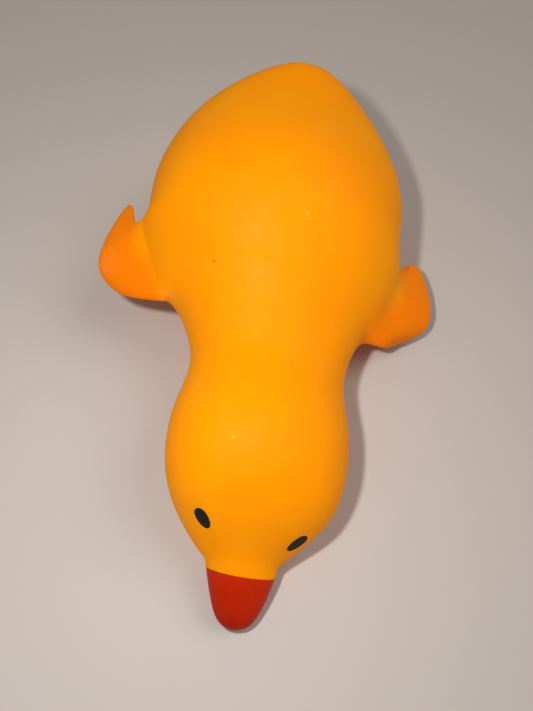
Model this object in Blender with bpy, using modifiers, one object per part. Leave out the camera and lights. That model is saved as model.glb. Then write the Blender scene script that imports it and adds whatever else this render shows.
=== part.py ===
"""Squishy duck: one soft rubber moulding that lies on its belly and leans to its own left.

Frame: metres, +Z up, beak towards -Y, the duck's left side towards +X, the table at z = 0,
and the origin on the table under the middle of the duck's outline.
"""

import math

import bmesh
import bpy
import numpy as np
from mathutils import Vector

# Lengths are in metres and angles in degrees. A place is measured back from the tip of the
# beak, and a sway is how far a section's middle lies to the duck's left of the body's middle.
LENGTH = 0.1300

BEAK_TIP_PLACE = 0.0032
BEAK_TIP_WIDTH = 0.0092
BEAK_TIP_HEIGHT = 0.0060
BEAK_TIP_MIDDLE = 0.0050
BEAK_LENGTH = 0.0115
BEAK_WIDTH = 0.0152
BEAK_HEIGHT = 0.0104
BEAK_MIDDLE = 0.0068
BEAK_SWAY = 0.0020
BEAK_SLANT = 0.0021

BROW_PLACE = 0.0145
BROW_WIDTH = 0.0190
BROW_HEIGHT = 0.0150
BROW_MIDDLE = 0.0092
BROW_SWAY = 0.0019
CHEEK_PLACE = 0.0231
CHEEK_WIDTH = 0.0340
CHEEK_HEIGHT = 0.0288
CHEEK_SWAY = 0.0026
HEAD_PLACE = 0.0341
HEAD_WIDTH = 0.0402
HEAD_HEIGHT = 0.0345
HEAD_SWAY = 0.0026

NECK_PLACE = 0.0561
NECK_WIDTH = 0.0364
NECK_HEIGHT = 0.0300
NECK_MIDDLE = 0.0160
NECK_SWAY = 0.0024
BODY_PLACE = 0.0941
BODY_WIDTH = 0.0628
BODY_HEIGHT = 0.0490
BACK_PLACE = 0.0971

HAUNCH_PLACE = 0.1071
HAUNCH_WIDTH = 0.0594
HAUNCH_HEIGHT = 0.0430
HAUNCH_MIDDLE = 0.0252
HAUNCH_SWAY = 0.0006
RUMP_PLACE = 0.1181
RUMP_WIDTH = 0.0454
RUMP_HEIGHT = 0.0320
RUMP_MIDDLE = 0.0295
RUMP_SWAY = 0.0012
TAIL_PLACE = 0.1266
TAIL_WIDTH = 0.0200
TAIL_HEIGHT = 0.0180
TAIL_MIDDLE = 0.0350
TAIL_SWAY = 0.0026

LEAN = 11.0
BELLY_PRESS = 0.0014

# How late the form changes on its way from one section to the next: 1 is evenly
NAPE_EASE = 1.5
SHOULDER_EASE = 1.6
BACK_EASE = 4.0

# A wing is drawn out along four lines, from its front edge to its rear edge. At the wing's
# outer edge, each line has swept back and falls short of the full span by these amounts.
# The bulge is how far the front edge stands forward at the body. The notch is how far out
# from the body, and how far back from the last line, the hollow behind the wing lies.
WING_FRONT = 0.0676
WING_ROOT = 0.0200
WING_SPAN = 0.0860
WING_SWEEP_LEFT = (0.0034, 0.0016, 0.0008, 0.0136)
WING_SWEEP_RIGHT = (0.0022, 0.0015, 0.0, 0.0130)
WING_SHORT_LEFT = (0.0115, 0.0026, -0.0008, 0.0047)
WING_SHORT_RIGHT = (0.0062, 0.0005, 0.0005, 0.0063)
WING_BULGE_LEFT = 0.0022
WING_BULGE_RIGHT = 0.0015
WING_NOTCH_LEFT = (0.0015, 0.0035)
WING_NOTCH_RIGHT = (0.0030, -0.0020)
WING_DROOP_LEFT = 0.0095
WING_DROOP_RIGHT = 0.0050
WING_CURL = 1.3
WING_THICKNESS = 0.0024

EYE_LENGTH = 0.0045
EYE_WIDTH = 0.0032
EYE_TURN = 15.0
EYE_PLACE_LEFT = 0.0171
EYE_RISE_LEFT = -0.0004
EYE_PLACE_RIGHT = 0.0187
EYE_RISE_RIGHT = 0.0014

RING_POINTS = 10
SMOOTHING = 2
# The wide cage face around an eye spreads its outline by this factor when it is smoothed
EYE_SPREAD = 1.22

# The sections in their order from beak to tail; a wing grows from the four shoulder sections
SHOULDERS = ("wing front", "wing second", "wing third", "wing rear")
ORDER = ("beak tip", "beak", "brow", "cheek", "head", "nape", "neck", *SHOULDERS,
         "back", "haunch", "rump", "tail")

# Each step of drawing out a wing: its share of the reach, and of the wing's thickness
WING_STEPS = ((0.14, 1.5), (0.55, 1.1), (1.0, 0.9))

# Colour and roughness of each material
FINISHES = {"rubber": ("FF9600", 0.45), "beak paint": ("C32603", 0.40), "eye ink": ("1C1811", 0.50)}
MATERIALS = tuple(FINISHES)


def linear_colour(text):
    """Linear RGBA of an sRGB colour written as hex digits."""
    parts = [int(text[start:start + 2], 16) / 255 for start in (0, 2, 4)]
    linear = [part / 12.92 if part <= 0.04045 else ((part + 0.055) / 1.055) ** 2.4 for part in parts]
    return (*linear, 1.0)


def material(name, hex_colour, roughness):
    result = bpy.data.materials.new(name)
    result.use_nodes = True
    shader = result.node_tree.nodes["Principled BSDF"]
    shader.inputs["Base Color"].default_value = linear_colour(hex_colour)
    shader.inputs["Roughness"].default_value = roughness
    shader.inputs["Metallic"].default_value = 0.0
    return result


def section(place, width, height, sway, middle=None, slant=0.0):
    """One oval section. With no middle given, it rests on the table, pressed a little flat.

    The slant is how much nearer to the beak's tip the top of the section is than its sides.
    """
    if middle is None:
        lean = math.radians(LEAN)
        lowest = math.hypot(height / 2 * math.cos(lean), width / 2 * math.sin(lean))
        middle = lowest - BELLY_PRESS
    return np.array([place, width, height, middle, sway, slant])


def blend(near, far, place, ease):
    """The section at a place between two others; an ease over 1 keeps it like the near one."""
    share = (place - near[0]) / (far[0] - near[0])
    row = near + (far - near) * share ** ease
    row[0] = place
    return row


def sections():
    """All sections by name."""
    made = {
        "beak tip": section(BEAK_TIP_PLACE, BEAK_TIP_WIDTH, BEAK_TIP_HEIGHT, BEAK_SWAY, BEAK_TIP_MIDDLE),
        "beak": section(BEAK_LENGTH, BEAK_WIDTH, BEAK_HEIGHT, BEAK_SWAY, BEAK_MIDDLE, BEAK_SLANT),
        "brow": section(BROW_PLACE, BROW_WIDTH, BROW_HEIGHT, BROW_SWAY, BROW_MIDDLE),
        "cheek": section(CHEEK_PLACE, CHEEK_WIDTH, CHEEK_HEIGHT, CHEEK_SWAY),
        "head": section(HEAD_PLACE, HEAD_WIDTH, HEAD_HEIGHT, HEAD_SWAY),
        "neck": section(NECK_PLACE, NECK_WIDTH, NECK_HEIGHT, NECK_SWAY, NECK_MIDDLE),
        "haunch": section(HAUNCH_PLACE, HAUNCH_WIDTH, HAUNCH_HEIGHT, HAUNCH_SWAY, HAUNCH_MIDDLE),
        "rump": section(RUMP_PLACE, RUMP_WIDTH, RUMP_HEIGHT, RUMP_SWAY, RUMP_MIDDLE),
        "tail": section(TAIL_PLACE, TAIL_WIDTH, TAIL_HEIGHT, TAIL_SWAY, TAIL_MIDDLE),
    }
    neck = made["neck"]
    body = section(BODY_PLACE, BODY_WIDTH, BODY_HEIGHT, 0.0)
    made["nape"] = blend(made["head"], neck, (HEAD_PLACE + NECK_PLACE) / 2, NAPE_EASE)
    made["back"] = blend(body, made["haunch"], BACK_PLACE, BACK_EASE)
    for index, name in enumerate(SHOULDERS):
        place = WING_FRONT + WING_ROOT * index / (len(SHOULDERS) - 1)
        along = (place - NECK_PLACE) / (BODY_PLACE - NECK_PLACE)
        made[name] = neck + (body - neck) * math.sin(along * math.pi / 2) ** SHOULDER_EASE
        made[name][0] = place
    return made


def cage_rows():
    """Rows for the cage with its two end points, set so that the smoothed form meets the sections.

    Smoothing draws each ring towards its neighbours, and an end point towards the ring next to it.
    """
    made = sections()
    rows = [made[name] for name in ORDER]
    front = section(0.0, 0.0, 0.0, rows[0][4], rows[0][3])
    back = section(LENGTH, 0.0, 0.0, rows[-1][4], rows[-1][3])
    goals = np.array([front, *rows, back])
    # How far smoothing draws in a point where so many spokes meet, as a share of the way
    pull = 14 / 3 / (RING_POINTS + 5)
    solved = []
    for column, end_pull in zip(goals.T, (pull, 0.0, 0.0, pull, pull, 0.0)):
        smoothing = np.eye(len(goals))
        smoothing[0, :2] = (1 - end_pull, end_pull)
        smoothing[-1, -2:] = (end_pull, 1 - end_pull)
        for index in range(1, len(goals) - 1):
            smoothing[index, index - 1:index + 2] = (1 / 6, 4 / 6, 1 / 6)
        solved.append(np.linalg.solve(smoothing, column))
    return np.array(solved).T


def swell(points):
    """How much wider than the smoothed outline a cage with so many points around must be."""
    return 3 / (2 + math.cos(math.tau / points))


def ring_point(row, spoke):
    """A cage point of one section, leaned over about the section's own middle."""
    place, width, height, middle, sway, slant = row
    angle = (spoke + 0.5) / RING_POINTS * math.tau
    lean = math.radians(LEAN)
    across = width / 2 * swell(RING_POINTS) * math.cos(angle)
    up = height / 2 * swell(RING_POINTS) * math.sin(angle)
    return Vector((sway + across * math.cos(lean) + up * math.sin(lean),
                   place - slant * math.sin(angle),
                   middle + up * math.cos(lean) - across * math.sin(lean)))


def body_cage():
    """A ball with one ring of points for each section, drawn out to the duck's form."""
    front, *rows, back = cage_rows()
    cage = bmesh.new()
    bmesh.ops.create_uvsphere(cage, u_segments=RING_POINTS, v_segments=len(rows) + 1, radius=1.0)
    ring_of = cage.verts.layers.int.new("ring")
    spoke_of = cage.verts.layers.int.new("spoke")
    for vertex in cage.verts:
        from_pole = math.acos(max(-1.0, min(1.0, vertex.co.z))) / math.pi
        turn = math.atan2(vertex.co.y, vertex.co.x) / math.tau
        ring = round(from_pole * (len(rows) + 1)) - 1
        # The ball's first point may stand half a step round, so steps are counted from a quarter
        spoke = math.floor(turn * RING_POINTS + 0.25) % RING_POINTS
        vertex[ring_of] = ring
        vertex[spoke_of] = spoke
        if ring < 0:
            vertex.co = Vector((front[4], front[0], front[3]))
        elif ring >= len(rows):
            vertex.co = Vector((back[4], back[0], back[3]))
        else:
            vertex.co = ring_point(rows[ring], spoke)
    cage.normal_update()
    bmesh.ops.recalc_face_normals(cage, faces=cage.faces)
    for face in cage.faces:
        face.smooth = True
        if all(vertex[ring_of] <= ORDER.index("beak") for vertex in face.verts):
            face.material_index = MATERIALS.index("beak paint")
    return cage


def faces_between(cage, names, spokes):
    """Faces of the cage whose corners all lie on these sections and spokes."""
    ring_of = cage.verts.layers.int["ring"]
    spoke_of = cage.verts.layers.int["spoke"]
    rings = [ORDER.index(name) for name in names]
    return [face for face in cage.faces
            if all(v[ring_of] in rings and v[spoke_of] in spokes for v in face.verts)]


def print_eye(cage, side):
    """Mark one printed eye between brow and cheek; side is 1 for left and -1 for right."""
    ring_of = cage.verts.layers.int["ring"]
    spokes = (0, 1) if side > 0 else (RING_POINTS // 2 - 2, RING_POINTS // 2 - 1)
    place = EYE_PLACE_LEFT if side > 0 else EYE_PLACE_RIGHT
    rise = EYE_RISE_LEFT if side > 0 else EYE_RISE_RIGHT
    face = faces_between(cage, ("brow", "cheek"), spokes)[0]
    brow, cheek = (sum((v.co for v in face.verts if v[ring_of] == ORDER.index(name)), Vector()) / 2
                   for name in ("brow", "cheek"))
    forwards = (brow - cheek).normalized()
    crownwards = face.normal.cross(forwards).normalized() * -side
    middle = brow.lerp(cheek, (place - brow.y) / (cheek.y - brow.y)) + crownwards * rise
    turn = math.radians(EYE_TURN)
    along = forwards * math.cos(turn) + crownwards * math.sin(turn)
    across = crownwards * math.cos(turn) - forwards * math.sin(turn)

    centre = face.calc_center_median()

    def turn_of(vertex):
        offset = vertex.co - centre
        return math.atan2(offset.dot(crownwards), offset.dot(forwards)) % math.tau

    bmesh.ops.inset_individual(cage, faces=[face], thickness=EYE_WIDTH / 4)
    growth = swell(4) / EYE_SPREAD
    for corner, vertex in enumerate(sorted(face.verts, key=turn_of)):
        angle = (corner + 0.5) / 4 * math.tau
        vertex.co = (middle + along * math.cos(angle) * EYE_LENGTH / 2 * growth
                     + across * math.sin(angle) * EYE_WIDTH / 2 * growth)
    face.material_index = MATERIALS.index("eye ink")
    bmesh.ops.inset_individual(cage, faces=[face], thickness=EYE_WIDTH / 4)


def grow_wing(cage, side):
    """Draw one wing out of the body's side in steps; side is 1 for left and -1 for right."""
    if side > 0:
        spokes = (0, RING_POINTS - 1)
        sweep, short = WING_SWEEP_LEFT, WING_SHORT_LEFT
        bulge, notch, droop = WING_BULGE_LEFT, WING_NOTCH_LEFT, WING_DROOP_LEFT
    else:
        spokes = (RING_POINTS // 2 - 1, RING_POINTS // 2)
        sweep, short = WING_SWEEP_RIGHT, WING_SHORT_RIGHT
        bulge, notch, droop = WING_BULGE_RIGHT, WING_NOTCH_RIGHT, WING_DROOP_RIGHT
    ring_of = cage.verts.layers.int["ring"]
    faces = faces_between(cage, SHOULDERS, spokes)
    rings = [ORDER.index(name) for name in SHOULDERS]
    root = []
    for ring in rings:
        pair = {v for face in faces for v in face.verts if v[ring_of] == ring}
        root.append(sum((v.co for v in pair), Vector()) / 2)
    outer = side * WING_SPAN / 2
    front, rear = 0, len(rings) - 1
    for reach, thickness in WING_STEPS:
        grown = bmesh.ops.extrude_face_region(cage, geom=faces)["geom"]
        bmesh.ops.delete(cage, geom=faces, context="FACES")
        faces = [item for item in grown if isinstance(item, bmesh.types.BMFace)]
        points = [item for item in grown if isinstance(item, bmesh.types.BMVert)]
        level = [sum(v.co.z for v in points if v[ring_of] == ring) / 2 for ring in rings]
        for vertex in points:
            line = rings.index(vertex[ring_of])
            above = 1 if vertex.co.z > level[line] else -1
            across = root[line].x + (outer - root[line].x) * reach - side * short[line] * reach ** 2
            along = root[line].y + sweep[line] * reach ** 2
            if line == front:
                along -= bulge * (1 - reach ** 2)
            elif line == rear and reach < 1:
                across = root[line].x + side * notch[0] * reach / WING_STEPS[1][0]
                along = root[line].y + notch[1] * reach / WING_STEPS[1][0]
            height = root[line].z - droop * reach ** WING_CURL + above * thickness * WING_THICKNESS / 2
            vertex.co = Vector((across, along, height))


def block_under_table(collection):
    """Everything of the duck below the table is pressed flat, so it is cut away."""
    depth = 0.02
    bpy.ops.mesh.primitive_cube_add(size=1.0, location=(0.0, 0.0, -depth / 2))
    block = bpy.context.object
    block.name = "under_table"
    block.scale = (WING_SPAN * 2, LENGTH * 2, depth)
    block.hide_render = True
    block.display_type = "WIRE"
    for owner in block.users_collection:
        owner.objects.unlink(block)
    collection.objects.link(block)
    return block


def centre_over_origin(duck):
    """Slide the duck along the table until the middle of its outline is at the origin."""
    bpy.context.view_layer.update()
    shape = duck.evaluated_get(bpy.context.evaluated_depsgraph_get())
    corners = [shape.matrix_world @ Vector(corner) for corner in shape.bound_box]
    low = [min(corner[axis] for corner in corners) for axis in (0, 1)]
    high = [max(corner[axis] for corner in corners) for axis in (0, 1)]
    middle = Vector(((low[0] + high[0]) / 2, (low[1] + high[1]) / 2, 0.0))
    for vertex in duck.data.vertices:
        vertex.co -= middle


def main():
    for thing in list(bpy.data.objects):
        bpy.data.objects.remove(thing)
    parts = bpy.data.collections.new("squishy_duck")
    cutters = bpy.data.collections.new("cutters")
    bpy.context.scene.collection.children.link(parts)
    bpy.context.scene.collection.children.link(cutters)

    cage = body_cage()
    for side in (1, -1):
        print_eye(cage, side)
        grow_wing(cage, side)
    data = bpy.data.meshes.new("duck_body")
    cage.to_mesh(data)
    cage.free()
    duck = bpy.data.objects.new("duck_body", data)
    parts.objects.link(duck)
    for name in MATERIALS:
        data.materials.append(material(name, *FINISHES[name]))

    form = duck.modifiers.new("soft_form", "SUBSURF")
    form.levels = SMOOTHING
    form.render_levels = SMOOTHING
    belly = duck.modifiers.new("flat_belly", "BOOLEAN")
    belly.operation = "DIFFERENCE"
    belly.object = block_under_table(cutters)
    centre_over_origin(duck)


main()
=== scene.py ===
import math

import bmesh
import bpy
import numpy as np
from mathutils import Matrix, Vector


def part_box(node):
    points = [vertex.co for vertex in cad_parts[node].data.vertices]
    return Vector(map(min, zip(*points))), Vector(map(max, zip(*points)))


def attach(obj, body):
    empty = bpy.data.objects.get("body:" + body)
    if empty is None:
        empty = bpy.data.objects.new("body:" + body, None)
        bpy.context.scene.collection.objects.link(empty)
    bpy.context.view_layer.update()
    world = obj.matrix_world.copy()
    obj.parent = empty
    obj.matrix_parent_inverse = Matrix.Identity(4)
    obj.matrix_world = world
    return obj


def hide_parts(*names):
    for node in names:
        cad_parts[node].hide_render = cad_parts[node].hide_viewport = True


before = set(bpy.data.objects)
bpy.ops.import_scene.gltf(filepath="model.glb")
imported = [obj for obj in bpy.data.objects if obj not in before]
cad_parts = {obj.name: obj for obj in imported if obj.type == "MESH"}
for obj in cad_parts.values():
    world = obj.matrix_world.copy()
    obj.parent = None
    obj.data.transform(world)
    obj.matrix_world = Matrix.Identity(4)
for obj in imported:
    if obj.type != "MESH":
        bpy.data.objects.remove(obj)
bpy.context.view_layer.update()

# Duck body. One soft moulding of thermoplastic rubber: beak, head, body and tail run into each
# other with no seam. It is drawn out ring by ring from the beak, leans 11 degrees to its own
# left as it lies, and is pressed flat where it rests.
DUCK_LENGTH = 0.1300
LEAN = math.radians(11)
BELLY_PRESS = 0.0014
SPOKES = 10
SAME_RING = 0.00002


def section(place, width, height, sway, middle=None, slant=0.0):
    """One oval section of the duck. With no middle height given, it rests on the table.

    Place is measured back from the beak's tip and sway towards the duck's left. Slant is how much
    nearer to the beak's tip the top is than the sides.
    """
    if middle is None:
        lowest = math.hypot(height / 2 * math.cos(LEAN), width / 2 * math.sin(LEAN))
        middle = lowest - BELLY_PRESS
    return np.array([place, width, height, middle, sway, slant])


BEAK_TIP = section(0.0032, 0.0092, 0.0060, 0.0020, 0.0050)
BEAK = section(0.0115, 0.0152, 0.0104, 0.0020, 0.0068, slant=0.0021)
BROW = section(0.0145, 0.0190, 0.0150, 0.0019, 0.0092)
CHEEK = section(0.0231, 0.0340, 0.0288, 0.0026)
HEAD = section(0.0341, 0.0402, 0.0345, 0.0026)
NECK = section(0.0561, 0.0364, 0.0300, 0.0024, 0.0160)
BODY = section(0.0941, 0.0628, 0.0490, 0.0)
HAUNCH = section(0.1071, 0.0594, 0.0430, 0.0006, 0.0252)
RUMP = section(0.1181, 0.0454, 0.0320, 0.0012, 0.0295)
TAIL = section(0.1266, 0.0200, 0.0180, 0.0026, 0.0350)
BACK_PLACE = 0.0971
WING_FRONT = 0.0676
WING_ROOT = 0.0200
WING_LINES = 4
# How late the form changes on its way from one section to the next; 1 would be evenly
NAPE_EASE = 1.5
SHOULDER_EASE = 1.6
BACK_EASE = 4


def between(near, far, place, share):
    made = near + (far - near) * share
    made[0] = place
    return made


def all_sections():
    """The sections from beak to tail, with nape, shoulders and back worked out between the others."""
    nape_place = (HEAD[0] + NECK[0]) / 2
    nape_share = (nape_place - HEAD[0]) / (NECK[0] - HEAD[0])
    nape = between(HEAD, NECK, nape_place, nape_share ** NAPE_EASE)
    shoulders = []
    for place in np.linspace(WING_FRONT, WING_FRONT + WING_ROOT, WING_LINES):
        share = (place - NECK[0]) / (BODY[0] - NECK[0])
        shoulders.append(between(NECK, BODY, place, math.sin(share * math.pi / 2) ** SHOULDER_EASE))
    back_share = (BACK_PLACE - BODY[0]) / (HAUNCH[0] - BODY[0])
    back = between(BODY, HAUNCH, BACK_PLACE, back_share ** BACK_EASE)
    return [BEAK_TIP, BEAK, BROW, CHEEK, HEAD, nape, NECK, *shoulders, back, HAUNCH, RUMP, TAIL]


def cage_rings():
    """Rings of the cage, in order, whose smoothed form runs through the sections.

    Smoothing draws each ring towards its neighbours, and an end point towards the ring beside it.
    """
    first = section(0, 0, 0, BEAK_TIP[4], BEAK_TIP[3])
    last = section(DUCK_LENGTH, 0, 0, TAIL[4], TAIL[3])
    goals = np.array([first, *all_sections(), last])
    # How far smoothing draws in a point where so many spokes meet, as a share of the way
    pull = 14 / 3 / (SPOKES + 5)
    rings = []
    for column, end_pull in zip(goals.T, (pull, 0, 0, pull, pull, 0)):
        smoothing = np.eye(len(goals))
        smoothing[0, :2] = (1 - end_pull, end_pull)
        smoothing[-1, -2:] = (end_pull, 1 - end_pull)
        for index in range(1, len(goals) - 1):
            smoothing[index, index - 1:index + 2] = (1 / 6, 4 / 6, 1 / 6)
        rings.append(np.linalg.solve(smoothing, column))
    return [tuple(float(value) for value in ring) for ring in np.array(rings).T]


def ring_middle(ring):
    return Vector((ring[4], ring[0], ring[3]))


def swell(points):
    """How much wider than its smoothed outline a cage with so many points around must be."""
    return 3 / (2 + math.cos(math.tau / points))


def scale_between(ring, next_ring):
    """Factors that turn one ring's width, and its height along its own slant, into the next one's."""
    before, after = (math.hypot(r[2], r[5] * 2 / swell(SPOKES)) for r in (ring, next_ring))
    return (next_ring[1] / ring[1], 1, after / before)


def clear_selection():
    if bpy.context.object and bpy.context.object.mode == "EDIT":
        bpy.ops.object.mode_set(mode="OBJECT")
    bpy.ops.object.select_all(action="DESELECT")


def pick(kind, test):
    """Select in edit mode just the points, edges or faces that pass the test."""
    bpy.ops.mesh.select_mode(type=kind)
    bpy.ops.mesh.select_all(action="DESELECT")
    mesh = bmesh.from_edit_mesh(bpy.context.object.data)
    for item in {"VERT": mesh.verts, "EDGE": mesh.edges, "FACE": mesh.faces}[kind]:
        if test(item):
            item.select_set(True)
    mesh.select_flush_mode()
    bmesh.update_edit_mesh(bpy.context.object.data)


def picked_points():
    """Number and place of each selected point, from the beak's end of the duck to its tail."""
    mesh = bmesh.from_edit_mesh(bpy.context.object.data)
    points = [(vertex.index, vertex.co.copy()) for vertex in mesh.verts if vertex.select]
    return sorted(points, key=lambda point: point[1].y)


def draw_out(start, end):
    step = ring_middle(end) - ring_middle(start)
    bpy.ops.mesh.extrude_region_move(TRANSFORM_OT_translate={"value": step})


beak_end, *rings, tail_end = cage_rings()
clear_selection()
bpy.ops.mesh.primitive_circle_add(
    vertices=SPOKES, radius=swell(SPOKES) / 2, enter_editmode=True,
    rotation=(math.pi / 2, 0, 0), location=ring_middle(rings[0]))
body = bpy.context.object
body.name = "duck_rubber"
bpy.ops.object.mode_set(mode="OBJECT")
bpy.ops.object.transform_apply(location=True, rotation=True, scale=True)
bpy.ops.object.mode_set(mode="EDIT")
bpy.ops.mesh.select_all(action="SELECT")
unit_ring = (0, 1, 1, 0, 0, 0)
bpy.ops.transform.resize(value=scale_between(unit_ring, rings[0]), center_override=ring_middle(rings[0]))
for ring, next_ring in zip(rings, rings[1:]):
    draw_out(ring, next_ring)
    bpy.ops.transform.resize(value=scale_between(ring, next_ring), center_override=ring_middle(next_ring))
draw_out(rings[-1], tail_end)
bpy.ops.mesh.merge(type="COLLAPSE")
pick("VERT", lambda v: abs(v.co.y - rings[0][0]) < SAME_RING)
draw_out(rings[0], beak_end)
bpy.ops.mesh.merge(type="COLLAPSE")
for ring in rings:
    slope = math.atan2(ring[5], ring[2] * swell(SPOKES) / 2)
    pick("VERT", lambda v: abs(v.co.y - ring[0]) < SAME_RING)
    bpy.ops.transform.rotate(value=-slope, orient_axis="X", center_override=ring_middle(ring))
    bpy.ops.transform.rotate(value=-LEAN, orient_axis="Y", center_override=ring_middle(ring))
bpy.ops.mesh.select_all(action="SELECT")
bpy.ops.mesh.normals_make_consistent(inside=False)

# Wings, part of the same moulding. Each is a thin flap drawn out of the flank in three steps
# along four lines; at its outer edge a line has swept back and falls short of the full span.
# The skin turns sharply into the flap along its root.
WING_SPAN = 0.0860
WING_THICKNESS = 0.0024
WING_CURL = 1.3
# Share of the reach, and of the thickness, at each step
ROOT_STEP = (0.14, 1.5)
MIDDLE_STEP = (0.55, 1.1)
EDGE_STEP = (1.0, 0.9)
ROOT_CREASE = 0.6
FIRST_PULL = 0.001
FLANK_SLOPE = 0.25
# The bulge is how far the front edge stands forward at the body. The notch is how far out, and
# how far back from the last line, the hollow behind the wing lies.
LEFT_WING = {"side": 1, "sweep": (0.0034, 0.0016, 0.0008, 0.0136),
             "short": (0.0115, 0.0026, -0.0008, 0.0047),
             "bulge": 0.0022, "notch": (0.0015, 0.0035), "droop": 0.0095}
RIGHT_WING = {"side": -1, "sweep": (0.0022, 0.0015, 0.0, 0.0130),
              "short": (0.0062, 0.0005, 0.0005, 0.0063),
              "bulge": 0.0015, "notch": (0.0030, -0.0020), "droop": 0.0050}
shoulder_rings = [ring for ring in rings if NECK[0] < ring[0] < BODY[0]]


def wing_point(wing, line, start, reach):
    """Where one line of the wing has come to at this share of the reach."""
    full = wing["side"] * WING_SPAN / 2 - start.x
    goal = Vector((
        start.x + full * reach - wing["side"] * wing["short"][line] * reach ** 2,
        start.y + wing["sweep"][line] * reach ** 2,
        start.z - wing["droop"] * reach ** WING_CURL))
    if line == 0:
        goal.y -= wing["bulge"] * (1 - reach ** 2)
    elif line == WING_LINES - 1 and reach < 1:
        out, back = wing["notch"]
        goal.x = start.x + wing["side"] * out * reach / MIDDLE_STEP[0]
        goal.y = start.y + back * reach / MIDDLE_STEP[0]
    return goal


for wing in (LEFT_WING, RIGHT_WING):
    side = wing["side"]
    front, rear = shoulder_rings[0], shoulder_rings[-1]

    def on_flank(face):
        """Between the wing's first and last line, in the row of faces that looks straight aside."""
        middle = face.calc_center_median()
        share = (middle.y - front[0]) / (rear[0] - front[0])
        centre = ring_middle(front).lerp(ring_middle(rear), share)
        aside = (middle - centre) * side
        height = (aside.z * math.cos(LEAN) + aside.x * math.sin(LEAN)) * side
        return 0 < share < 1 and aside.x > 0 and abs(height) < FLANK_SLOPE * aside.x

    pick("FACE", on_flank)
    points = picked_points()
    root = [(points[i][1] + points[i + 1][1]) / 2 for i in range(0, len(points), 2)]
    for reach, thickness in (ROOT_STEP, MIDDLE_STEP, EDGE_STEP):
        bpy.ops.mesh.extrude_region_move(TRANSFORM_OT_translate={"value": (side * FIRST_PULL, 0, 0)})
        points = picked_points()
        pairs = [(points[i][0], points[i + 1][0]) for i in range(0, len(points), 2)]
        tip = {index for pair in pairs for index in pair}
        for line, pair in enumerate(pairs):
            pick("VERT", lambda v: v.index in pair)
            one, other = (place for number, place in picked_points())
            middle = (one + other) / 2
            flatter = thickness * WING_THICKNESS / abs(one.z - other.z)
            bpy.ops.transform.resize(value=(0, 0, flatter), center_override=middle)
            bpy.ops.transform.translate(value=wing_point(wing, line, root[line], reach) - middle)
        if reach == ROOT_STEP[0]:
            root_ring = tip
        pick("FACE", lambda f: all(v.index in tip for v in f.verts))
    pick("EDGE", lambda e: all(v.index in root_ring for v in e.verts))
    bpy.ops.transform.edge_crease(value=ROOT_CREASE)

# Fields of the beak's paint and the eyes' ink. Their faces are marked in the cage with a slot
# each, so that their outlines are smoothed along with the form. An eye is a face laid on an oval.
# How far past the middle between the first two rings a painted face's own middle may lie
PAINT_MARGIN = 0.002
EYE_LENGTH = 0.0043
EYE_WIDTH = 0.0035
EYE_TURN = math.radians(15)
LEFT_EYE = {"side": 1, "place": 0.0171, "rise": -0.0004}
RIGHT_EYE = {"side": -1, "place": 0.0187, "rise": 0.0014}
EYE_CORNERS = 4
# The wide cage face around an eye spreads its outline by this factor when it is smoothed
EYE_SPREAD = 1.22
# An eye's row of cage faces, as an angle down from the crown, and how far off it a face may be
EYE_ROW = 54
ROW_REACH = 12
beak_ring, brow_ring, cheek_ring = rings[1:4]
SLOTS = ("rubber", "paint", "ink")
PAINT_SLOT, INK_SLOT = SLOTS.index("paint"), SLOTS.index("ink")


def mark(slot):
    body.active_material_index = slot
    bpy.ops.object.material_slot_assign()


for name in SLOTS:
    body.data.materials.append(bpy.data.materials.new(name))
paint_end = (rings[0][0] + beak_ring[0]) / 2 + PAINT_MARGIN
pick("FACE", lambda f: f.calc_center_median().y < paint_end)
mark(PAINT_SLOT)

for eye in (LEFT_EYE, RIGHT_EYE):
    side = eye["side"]

    def at_eye(face):
        """Between brow and cheek, on the second row of faces up from straight aside."""
        middle = face.calc_center_median()
        share = (middle.y - brow_ring[0]) / (cheek_ring[0] - brow_ring[0])
        offset = middle - ring_middle(brow_ring).lerp(ring_middle(cheek_ring), share)
        turn = math.degrees(math.atan2(offset.z, offset.x) + LEAN)
        return 0 < share < 1 and abs(turn - (90 - side * EYE_ROW)) < ROW_REACH

    pick("FACE", at_eye)
    mesh = bmesh.from_edit_mesh(body.data)
    normal = next(face.normal.copy() for face in mesh.faces if face.select)
    corners = [place for number, place in picked_points()]
    brow, cheek = (corners[0] + corners[1]) / 2, (corners[2] + corners[3]) / 2
    forwards = (brow - cheek).normalized()
    crownwards = normal.cross(forwards).normalized() * -side
    middle = brow.lerp(cheek, (eye["place"] - brow.y) / (cheek.y - brow.y)) + crownwards * eye["rise"]
    along = forwards * math.cos(EYE_TURN) + crownwards * math.sin(EYE_TURN)
    across = crownwards * math.cos(EYE_TURN) - forwards * math.sin(EYE_TURN)
    growth = swell(EYE_CORNERS) / EYE_SPREAD / 2
    half_length, half_width = along * EYE_LENGTH * growth, across * EYE_WIDTH * growth
    bpy.ops.mesh.inset(thickness=EYE_WIDTH / 4, use_individual=True)
    mark(INK_SLOT)
    centre = (brow + cheek) / 2
    turns = []
    for number, place in picked_points():
        turn = math.atan2((place - centre).dot(crownwards), (place - centre).dot(forwards))
        turns.append((turn % math.tau, number, place))
    for corner, (turn, number, place) in enumerate(sorted(turns)):
        angle = (corner + 0.5) / EYE_CORNERS * math.tau
        goal = middle + half_length * math.cos(angle) + half_width * math.sin(angle)
        pick("VERT", lambda v: v.index == number)
        bpy.ops.transform.translate(value=goal - place)
    eye_points = {number for turn, number, place in turns}
    pick("FACE", lambda f: {v.index for v in f.verts} == eye_points)
    bpy.ops.mesh.inset(thickness=EYE_WIDTH / 4, use_individual=True)

# Skin of the duck. The form is smoothed, slid to its place over the origin, and all that would
# reach under the table is pressed flat against it. The painted and printed fields are copied off
# as films of their own, and the rubber gets its look.
SMOOTHING = 4


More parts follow.
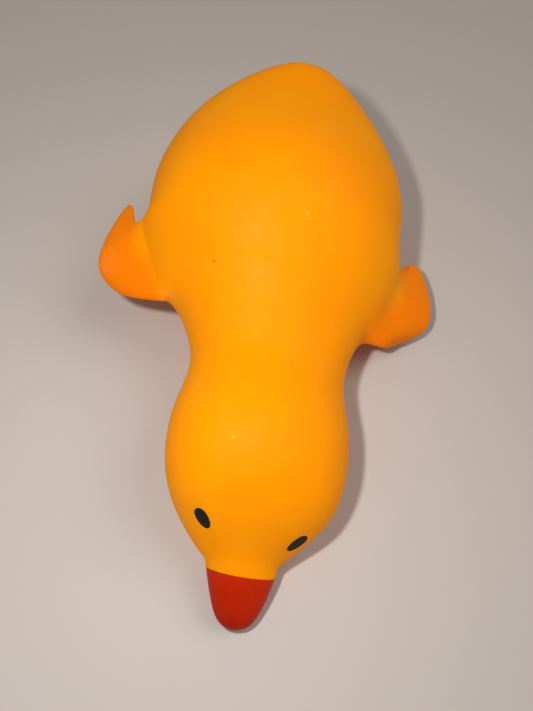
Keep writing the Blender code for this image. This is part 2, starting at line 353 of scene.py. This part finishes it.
def finish(piece, modifier):
    clear_selection()
    piece.select_set(True)
    bpy.context.view_layer.objects.active = piece
    bpy.ops.object.modifier_apply(modifier=modifier)
    bpy.ops.object.shade_smooth()


bpy.ops.object.mode_set(mode="OBJECT")
smooth = body.modifiers.new("smooth", "SUBSURF")
smooth.levels = SMOOTHING
smooth.render_levels = SMOOTHING
finish(body, "smooth")
cad_low, cad_high = (Vector(corner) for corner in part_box("duck_body"))
low, high = Vector(body.bound_box[0]), Vector(body.bound_box[6])
shift = (cad_low + cad_high - low - high) / 2
shift.z = 0
bpy.ops.object.mode_set(mode="EDIT")
bpy.ops.mesh.select_all(action="SELECT")
bpy.ops.transform.translate(value=shift)
pick("VERT", lambda v: v.co.z < 0)
bpy.ops.transform.resize(value=(1, 1, 0), center_override=(0, 0, 0))
bpy.ops.object.mode_set(mode="OBJECT")


def separate(slot, name):
    """Part off a copy of the faces marked with the slot, as a film of its own."""
    clear_selection()
    bpy.context.view_layer.objects.active = body
    body.select_set(True)
    bpy.ops.object.mode_set(mode="EDIT")
    bpy.ops.mesh.select_mode(type="FACE")
    bpy.ops.mesh.select_all(action="DESELECT")
    body.active_material_index = slot
    bpy.ops.object.material_slot_select()
    bpy.ops.mesh.duplicate()
    bpy.ops.mesh.separate(type="SELECTED")
    bpy.ops.object.mode_set(mode="OBJECT")
    film = next(piece for piece in bpy.context.selected_objects if piece != body)
    film.name = name
    return film


beak = separate(PAINT_SLOT, "beak_paint")
eyes = separate(INK_SLOT, "eye_prints")

# Thermoplastic rubber, dyed through and moulded against matt steel. That gives a satin skin with a
# broad dull sheen, into which light sinks a little. The thin wings are drawn a deeper orange as painted
# shade.
RUBBER_TONES = ("FF9900", "FF9200")
RUBBER_ROUGHNESS = (0.5, 0.6)
RUBBER_GLOSS = 0.05
SCATTER_SHARE = 0.35
SCATTER_BY_COLOUR = (1.0, 0.3, 0.1)
SCATTER_DEPTH = 0.0025
DRIFT_SIZE = 0.025
SHEEN_PATCH = 0.007
# The real skin's grain is about 0.2 mm; it is drawn at 0.8 mm so that it shows at all.
GRAIN_SIZE = 0.0008
GRAIN_DEPTH = 0.000012
# A noise stays mostly between these values
NOISE_RANGE = (0.35, 0.65)
# A wing's painted shade, a deeper orange, starts past its root, which slants back as it goes out,
# and beyond the body's side
WING_SHADE_TONE = "FF8000"
FLANK_WIDTH = 0.021
ROOT_PLACE = 0.016
ROOT_SLOPE = 0.95
BODY_HALF = 0.0315
TONE_BLEND = 0.006
# Dust lies in specks on the outer part of the right wing
DUST_TONE = "F7B45C"
DUST_SIZE = 0.0012
DUST_FROM = -0.032
DUST_SPARSE = (0.62, 0.74)
DUST_STRENGTH = 0.5
# Marks of use, and one painted highlight on the back: place, radius, tone and strength
MARKS_AND_HIGHLIGHT = [
    ((-0.0115, 0.0062, 0.0359), 0.0006, "B85C00", 0.6),
    ((-0.0018, -0.0328, 0.0326), 0.0005, "FFDC8C", 0.3),
    ((0.0078, 0.0162, 0.0431), 0.0007, "FFD27C", 0.25),
    # Painted highlight: a broad paler patch on the top of the back
    ((-0.0015, 0.0020, 0.0400), 0.0050, "FFB030", 0.35),
    ((-0.0395, 0.0120, 0.0225), 0.0045, "EBA050", 0.12),
    ((-0.0225, 0.0024, 0.0238), 0.0035, "FFA23C", 0.3),
]
# Sockets of a mix node
SHARE, ONE, OTHER, MIXED = 0, 6, 7, 2


def linear(text):
    """Linear colour of an sRGB colour written as hex digits."""
    parts = [int(text[start:start + 2], 16) / 255 for start in (0, 2, 4)]
    return (*(p / 12.92 if p <= 0.04045 else ((p + 0.055) / 1.055) ** 2.4 for p in parts), 1.0)


def new_material(name):
    material = bpy.data.materials.new(name)
    material.use_nodes = True
    return material, material.node_tree.nodes["Principled BSDF"]


def add_node(material, kind, settings, links):
    """Add a shader node. A setting is a property or an input's value, and a link feeds an input."""
    node = material.node_tree.nodes.new(kind)
    for name, value in settings.items():
        if isinstance(name, str) and hasattr(node, name):
            setattr(node, name, value)
        else:
            node.inputs[name].default_value = value
    for name, socket in links.items():
        material.node_tree.links.new(socket, node.inputs[name])
    return node


def wear(piece, material):
    piece.data.materials.clear()
    piece.data.materials.append(material)


rubber, shader = new_material("orange soft thermoplastic rubber, satin skin")
place = add_node(rubber, "ShaderNodeTexCoord", {}, {}).outputs["Object"]
drift = add_node(rubber, "ShaderNodeTexNoise", {"Scale": 1 / DRIFT_SIZE, "Detail": 2}, {"Vector": place})
drift_share = add_node(
    rubber, "ShaderNodeMapRange", {"From Min": NOISE_RANGE[0], "From Max": NOISE_RANGE[1]},
    {"Value": drift.outputs[0]})
tone = add_node(
    rubber, "ShaderNodeMix",
    {"data_type": "RGBA", ONE: linear(RUBBER_TONES[0]), OTHER: linear(RUBBER_TONES[1])},
    {SHARE: drift_share.outputs[0]})

position = add_node(rubber, "ShaderNodeSeparateXYZ", {}, {"Vector": place})
outwards = add_node(rubber, "ShaderNodeMath", {"operation": "ABSOLUTE"}, {0: position.outputs["X"]})
past_flank = add_node(
    rubber, "ShaderNodeMapRange", {"From Min": FLANK_WIDTH, "From Max": FLANK_WIDTH + TONE_BLEND},
    {"Value": outwards.outputs[0]})
across_root = add_node(
    rubber, "ShaderNodeMath", {"operation": "MULTIPLY_ADD", 1: -ROOT_SLOPE},
    {0: position.outputs["Y"], 2: outwards.outputs[0]})
past_root = add_node(
    rubber, "ShaderNodeMapRange", {"From Min": ROOT_PLACE, "From Max": ROOT_PLACE + TONE_BLEND},
    {"Value": across_root.outputs[0]})
past_body = add_node(
    rubber, "ShaderNodeMapRange", {"From Min": BODY_HALF, "From Max": BODY_HALF + TONE_BLEND / 2},
    {"Value": outwards.outputs[0]})
beside_root = add_node(
    rubber, "ShaderNodeMath", {"operation": "MULTIPLY"}, {0: past_flank.outputs[0], 1: past_root.outputs[0]})
wing_shade_share = add_node(
    rubber, "ShaderNodeMath", {"operation": "MAXIMUM"}, {0: beside_root.outputs[0], 1: past_body.outputs[0]})
# Painted shade: the wings drawn a deeper orange than the rest of the same dyed rubber
tone = add_node(
    rubber, "ShaderNodeMix", {"data_type": "RGBA", OTHER: linear(WING_SHADE_TONE)},
    {SHARE: wing_shade_share.outputs[0], ONE: tone.outputs[MIXED]})

dust = add_node(rubber, "ShaderNodeTexNoise", {"Scale": 1 / DUST_SIZE, "Detail": 2}, {"Vector": place})
specks = add_node(
    rubber, "ShaderNodeMapRange",
    {"From Min": DUST_SPARSE[0], "From Max": DUST_SPARSE[1], "To Max": DUST_STRENGTH},
    {"Value": dust.outputs[0]})
right_wing = add_node(
    rubber, "ShaderNodeMapRange", {"From Min": DUST_FROM, "From Max": -WING_SPAN / 2},
    {"Value": position.outputs["X"]})
dust_share = add_node(
    rubber, "ShaderNodeMath", {"operation": "MULTIPLY"}, {0: specks.outputs[0], 1: right_wing.outputs[0]})
tone = add_node(
    rubber, "ShaderNodeMix", {"data_type": "RGBA", OTHER: linear(DUST_TONE)},
    {SHARE: dust_share.outputs[0], ONE: tone.outputs[MIXED]})
# The marks of use, and the painted highlight on the back, laid over the tone
for spot, radius, mark_and_highlight_tone, strength in MARKS_AND_HIGHLIGHT:
    away = add_node(rubber, "ShaderNodeVectorMath", {"operation": "DISTANCE", 1: spot}, {0: place})
    mark_and_highlight_share = add_node(
        rubber, "ShaderNodeMapRange",
        {"interpolation_type": "SMOOTHSTEP", "From Min": radius / 4, "From Max": radius,
         "To Min": strength, "To Max": 0.0},
        {"Value": away.outputs["Value"]})
    tone = add_node(
        rubber, "ShaderNodeMix", {"data_type": "RGBA", OTHER: linear(mark_and_highlight_tone)},
        {SHARE: mark_and_highlight_share.outputs[0], ONE: tone.outputs[MIXED]})

handled = add_node(rubber, "ShaderNodeTexNoise", {"Scale": 1 / SHEEN_PATCH, "Detail": 1}, {"Vector": place})
roughness = add_node(
    rubber, "ShaderNodeMapRange",
    {"From Min": NOISE_RANGE[0], "From Max": NOISE_RANGE[1],
     "To Min": RUBBER_ROUGHNESS[0], "To Max": RUBBER_ROUGHNESS[1]},
    {"Value": handled.outputs[0]})
grain = add_node(rubber, "ShaderNodeTexNoise", {"Scale": 1 / GRAIN_SIZE, "Detail": 3}, {"Vector": place})
relief = add_node(
    rubber, "ShaderNodeBump", {"Strength": 1.0, "Distance": GRAIN_DEPTH}, {"Height": grain.outputs[0]})
rubber.node_tree.links.new(tone.outputs[MIXED], shader.inputs["Base Color"])
rubber.node_tree.links.new(roughness.outputs[0], shader.inputs["Roughness"])
rubber.node_tree.links.new(relief.outputs[0], shader.inputs["Normal"])
shader.inputs["Specular IOR Level"].default_value = RUBBER_GLOSS
shader.inputs["Subsurface Weight"].default_value = SCATTER_SHARE
shader.inputs["Subsurface Radius"].default_value = SCATTER_BY_COLOUR
shader.inputs["Subsurface Scale"].default_value = SCATTER_DEPTH
wear(body, rubber)
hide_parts("duck_body")
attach(body, "root")

# Beak paint. A thin coat of red-brown paint, sprayed over the beak and dried in air. It is satin and
# even, a little glossier than the rubber, and thinner towards its edge, where orange shows. Towards
# the tip it is drawn darker as painted shade.
PAINT_THICKNESS = 0.00004
PAINT_ROUGHNESS = (0.36, 0.46)
PAINT_GLOSS = 0.1
PAINT_PATCH = 0.003
PATCH_RANGE = (0.3, 0.7)
PATCH_DEPTH = (0.92, 1.06)
EDGE_TONE = "C42800"
SHADED_TIP_TONE = "A41C00"
COAT_EDGE = math.radians(45)


def coat(film, thickness):
    """Give a film its thickness outwards, with a sharp rim."""
    skin = film.modifiers.new("coat", "SOLIDIFY")
    skin.thickness = thickness
    skin.offset = 1
    finish(film, "coat")
    bpy.ops.object.shade_smooth_by_angle(angle=COAT_EDGE)


coat(beak, PAINT_THICKNESS)
paint, shader = new_material("red-brown beak paint, satin")
place = add_node(paint, "ShaderNodeTexCoord", {}, {}).outputs["Object"]
position = add_node(paint, "ShaderNodeSeparateXYZ", {}, {"Vector": place})
# Painted shade darkens the coat towards the tip; towards the edge it is paler where the coat thins
tip_shade_and_edge_share = add_node(
    paint, "ShaderNodeMapRange", {"From Min": beak.bound_box[0][1], "From Max": beak.bound_box[6][1]},
    {"Value": position.outputs["Y"]})
tone = add_node(
    paint, "ShaderNodeMix", {"data_type": "RGBA", ONE: linear(SHADED_TIP_TONE), OTHER: linear(EDGE_TONE)},
    {SHARE: tip_shade_and_edge_share.outputs[0]})
patches = add_node(paint, "ShaderNodeTexNoise", {"Scale": 1 / PAINT_PATCH, "Detail": 2}, {"Vector": place})
depth = add_node(
    paint, "ShaderNodeMapRange",
    {"From Min": PATCH_RANGE[0], "From Max": PATCH_RANGE[1],
     "To Min": PATCH_DEPTH[0], "To Max": PATCH_DEPTH[1]},
    {"Value": patches.outputs[0]})
shade = add_node(
    paint, "ShaderNodeHueSaturation", {}, {"Color": tone.outputs[MIXED], "Value": depth.outputs[0]})
roughness = add_node(
    paint, "ShaderNodeMapRange",
    {"From Min": PATCH_RANGE[0], "From Max": PATCH_RANGE[1],
     "To Min": PAINT_ROUGHNESS[0], "To Max": PAINT_ROUGHNESS[1]},
    {"Value": patches.outputs[0]})
paint.node_tree.links.new(shade.outputs[0], shader.inputs["Base Color"])
paint.node_tree.links.new(roughness.outputs[0], shader.inputs["Roughness"])
shader.inputs["Specular IOR Level"].default_value = PAINT_GLOSS
wear(beak, paint)
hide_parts("duck_body")
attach(beak, "root")

# Eye prints. Two flat ovals of black ink, pad-printed on the head. The ink is matt, and a touch
# paler where the rubber's grain shows through it.
INK_THICKNESS = 0.00003
INK_TONES = ("0C0A06", "1E1A12")
INK_ROUGHNESS = (0.45, 0.6)
INK_GLOSS = 0.15
INK_GRAIN = 0.0006
coat(eyes, INK_THICKNESS)
ink, shader = new_material("black eye ink, matt")
place = add_node(ink, "ShaderNodeTexCoord", {}, {}).outputs["Object"]
speckle = add_node(ink, "ShaderNodeTexNoise", {"Scale": 1 / INK_GRAIN, "Detail": 1}, {"Vector": place})
tone = add_node(
    ink, "ShaderNodeMix", {"data_type": "RGBA", ONE: linear(INK_TONES[0]), OTHER: linear(INK_TONES[1])},
    {SHARE: speckle.outputs[0]})
roughness = add_node(
    ink, "ShaderNodeMapRange", {"To Min": INK_ROUGHNESS[0], "To Max": INK_ROUGHNESS[1]},
    {"Value": speckle.outputs[0]})
ink.node_tree.links.new(tone.outputs[MIXED], shader.inputs["Base Color"])
ink.node_tree.links.new(roughness.outputs[0], shader.inputs["Roughness"])
shader.inputs["Specular IOR Level"].default_value = INK_GLOSS
wear(eyes, ink)
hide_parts("duck_body")
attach(eyes, "root")

# Floor. A plain pale tabletop under the duck.
FLOOR_SIZE = 3.0
FLOOR_TONE = "C4BAB2"
FLOOR_ROUGHNESS = 0.7
clear_selection()
bpy.ops.mesh.primitive_plane_add(size=FLOOR_SIZE)
floor = bpy.context.object
floor.name = "floor"
tabletop, shader = new_material("plain pale tabletop")
shader.inputs["Base Color"].default_value = linear(FLOOR_TONE)
shader.inputs["Roughness"].default_value = FLOOR_ROUGHNESS
wear(floor, tabletop)

# Light. A small soft lamp beside the camera, slightly to its left, broad even light from high on
# the right, and a sky that is bright overhead, as under a lit ceiling, and pale behind the duck.
KEY_PLACE = Vector((-0.024, -0.062, 0.165))
KEY_SIZE = 0.010
KEY_POWER = 0.19
FILL_FROM = Vector((0.42, 0.10, 0.55))
FILL_SPREAD = math.radians(40)
FILL_POWER = 0.9
SKY_TONE = "F4EFEA"
SKY_BEHIND = 0.6
SKY_MIDDLE = 0.02
SKY_OVERHEAD = 0.35
# How high the pale part of the sky reaches before it fades, and where it has faded, as sines
PALE_UP_TO = 0.32
FADED_AT = 0.5


def add_lamp(name, kind, place, power):
    bpy.ops.object.light_add(type=kind, location=place,
                             rotation=(-place).to_track_quat("-Z", "Y").to_euler())
    lamp = bpy.context.object
    lamp.name = name
    lamp.data.energy = power
    return lamp.data


add_lamp("key_lamp", "AREA", KEY_PLACE, KEY_POWER).size = KEY_SIZE
add_lamp("fill_light", "SUN", FILL_FROM, FILL_POWER).angle = FILL_SPREAD
world = bpy.data.worlds.new("studio")
bpy.context.scene.world = world
world.use_nodes = True
sky = world.node_tree.nodes["Background"]
sky.inputs["Color"].default_value = linear(SKY_TONE)
direction = add_node(world, "ShaderNodeTexCoord", {}, {})
height = add_node(world, "ShaderNodeSeparateXYZ", {}, {"Vector": direction.outputs["Generated"]})
behind = add_node(
    world, "ShaderNodeMapRange",
    {"interpolation_type": "SMOOTHSTEP", "From Min": PALE_UP_TO, "From Max": FADED_AT,
     "To Min": SKY_BEHIND, "To Max": 0.0},
    {"Value": height.outputs["Z"]})
overhead = add_node(
    world, "ShaderNodeMapRange", {"From Min": FADED_AT, "To Min": SKY_MIDDLE, "To Max": SKY_OVERHEAD},
    {"Value": height.outputs["Z"]})
level = add_node(
    world, "ShaderNodeMath", {"operation": "MAXIMUM"}, {0: behind.outputs[0], 1: overhead.outputs[0]})
world.node_tree.links.new(level.outputs[0], sky.inputs["Strength"])

# Camera. It looks steeply down on the duck from in front of the beak.
CAMERA_PLACE = Vector((0.0095, -0.0824, 0.162))
CAMERA_DOWN = math.radians(62)
CAMERA_HEADING = math.radians(-5.8)
CAMERA_ROLL = math.radians(1.2)
CAMERA_FOCUS = 700
PHOTO_HEIGHT = 711
SENSOR = 36
NEAREST_SEEN = 0.01
turned = (Matrix.Rotation(-CAMERA_HEADING, 3, "Z") @ Matrix.Rotation(math.pi / 2 - CAMERA_DOWN, 3, "X")
          @ Matrix.Rotation(CAMERA_ROLL, 3, "Z"))
bpy.ops.object.camera_add(location=CAMERA_PLACE, rotation=turned.to_euler())
camera = bpy.context.object
camera.data.sensor_width = SENSOR
camera.data.lens = SENSOR * CAMERA_FOCUS / PHOTO_HEIGHT
camera.data.clip_start = NEAREST_SEEN
bpy.context.scene.camera = camera
bpy.context.scene.view_settings.view_transform = "Standard"
